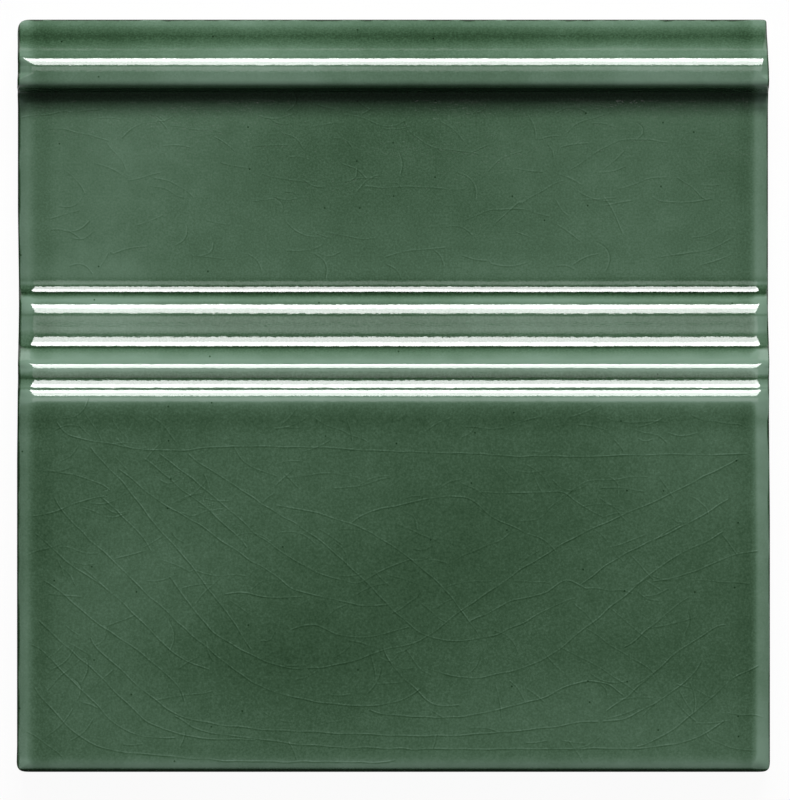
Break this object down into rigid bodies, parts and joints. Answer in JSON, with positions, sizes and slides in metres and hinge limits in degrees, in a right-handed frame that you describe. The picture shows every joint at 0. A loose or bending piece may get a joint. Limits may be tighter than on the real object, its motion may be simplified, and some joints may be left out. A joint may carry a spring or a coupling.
{
  "type": "ceramic skirting tile",
  "caption": "Moulded ceramic skirting tile: a bead along its top edge, a plain upper panel, a stepped and rolled moulding, and a thicker plain lower panel.",
  "frame": {"origin": "centre of the tile's plan, on the plane of its back", "axes": "+X along the wall, +Y up the wall towards the bead, +Z out of the glazed face; the tile lies on its back"},
  "size_m": [0.15, 0.15, 0.018],
  "materials": {
    "glazed_body": "crackled gloss glaze, sage to bottle green"
  },
  "bodies": {
    "root": {"skirting_tile": "glazed_body"}
  },
  "joints": []
}
